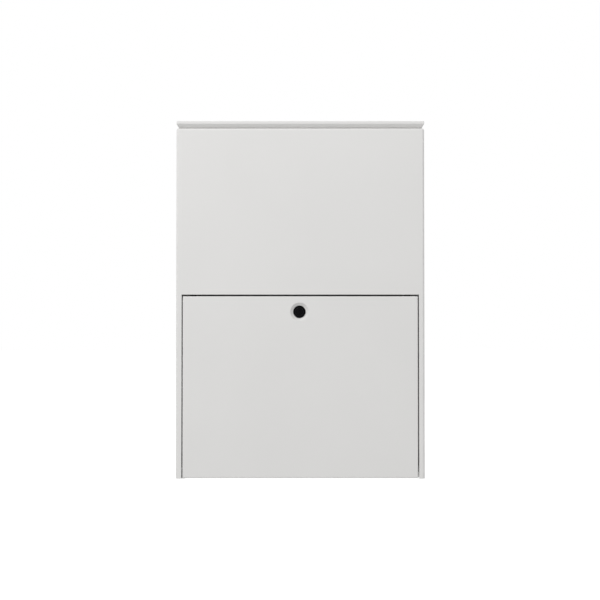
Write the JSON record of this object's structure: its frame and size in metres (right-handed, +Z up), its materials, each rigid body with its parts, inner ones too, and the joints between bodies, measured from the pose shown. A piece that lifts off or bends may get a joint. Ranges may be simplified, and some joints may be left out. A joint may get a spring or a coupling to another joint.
{
  "type": "parcel locker",
  "caption": "Steel parcel locker: hinged top lid for drop-off, linked anti-theft flap, and a locked drop-down door to a lower compartment.",
  "frame": {"origin": "middle of the footprint, on the surface the locker stands on", "axes": "+Z up, -Y out of the front with the door, +X to the right seen from the front"},
  "size_m": [0.4, 0.34, 0.576],
  "materials": {
    "paint": "satin powder coat",
    "zinc": "zinc plated",
    "rubber": "matt",
    "nylon": "moulded",
    "lock": "black, semi-gloss"
  },
  "bodies": {
    "cabinet": {"cabinet_wrap": "paint", "back_panel": "paint", "floor_pan": "paint", "strike_rail": "paint", "rear_top_rail": "paint", "rail_fasteners": "zinc", "lid_seal": "rubber", "door_seal_strips": "rubber", "panel_rivets": "zinc", "hinge_fixed_leaf": "zinc", "hinge_pin": "zinc", "fixed_leaf_rivets": "zinc", "flap_bearing_left": "nylon", "flap_bearing_right": "nylon", "bearing_screws": "zinc", "door_bracket_left": "paint", "door_bracket_right": "paint", "door_hinge_pins": "zinc"},
    "lid": {"lid_shell": "paint", "lid_stiffeners": "paint", "hinge_moving_leaf": "zinc", "moving_leaf_rivets": "zinc", "lid_arm_left": "zinc", "lid_arm_right": "zinc", "lid_arm_pins": "zinc", "lid_arm_clips": "zinc"},
    "link_rods": {"link_rod_left": "zinc", "link_rod_right": "zinc"},
    "flap": {"flap_panel": "paint", "flap_stiffener": "paint", "flap_edge_trim": "rubber", "flap_shaft": "zinc", "flap_crank_left": "zinc", "flap_crank_right": "zinc", "flap_crank_pins": "zinc", "flap_crank_clips": "zinc"},
    "door": {"door_outer_skin": "paint", "door_inner_skin": "paint", "door_lug_left": "zinc", "door_lug_right": "zinc", "door_bushes": "nylon", "door_stop_lugs": "zinc", "lock_housing": "lock", "lock_nut": "zinc"},
    "lock_core": {"lock_plug": "lock", "lock_cam": "zinc", "lock_cam_screw": "zinc"}
  },
  "joints": [
    {"name": "lid_hinge", "type": "hinge", "parent": "cabinet", "child": "lid", "pos_m": [0, 0.1245, 0.5725], "axis": [-1, 0, 0], "range_deg": [0, 85]},
    {"name": "rod_pivot", "type": "hinge", "parent": "lid", "child": "link_rods", "pos_m": [0, 0.10329, 0.55129], "axis": [-1, 0, 0], "range_deg": [-85, 0]},
    {"name": "flap_hinge", "type": "hinge", "parent": "cabinet", "child": "flap", "pos_m": [0, 0.155, 0.31], "axis": [-1, 0, 0], "range_deg": [0, 85]},
    {"name": "door_hinge", "type": "hinge", "parent": "cabinet", "child": "door", "pos_m": [0, -0.164, 0.015], "axis": [1, 0, 0], "range_deg": [0, 90]},
    {"name": "lock_turn", "type": "hinge", "parent": "door", "child": "lock_core", "pos_m": [-0.0015, -0.15, 0.268], "axis": [0, -1, 0], "range_deg": [0, 90]}
  ],
  "couplings": [
    {"joint": "rod_pivot", "follows": "lid_hinge", "ratio": -1},
    {"joint": "flap_hinge", "follows": "lid_hinge", "ratio": 1}
  ]
}
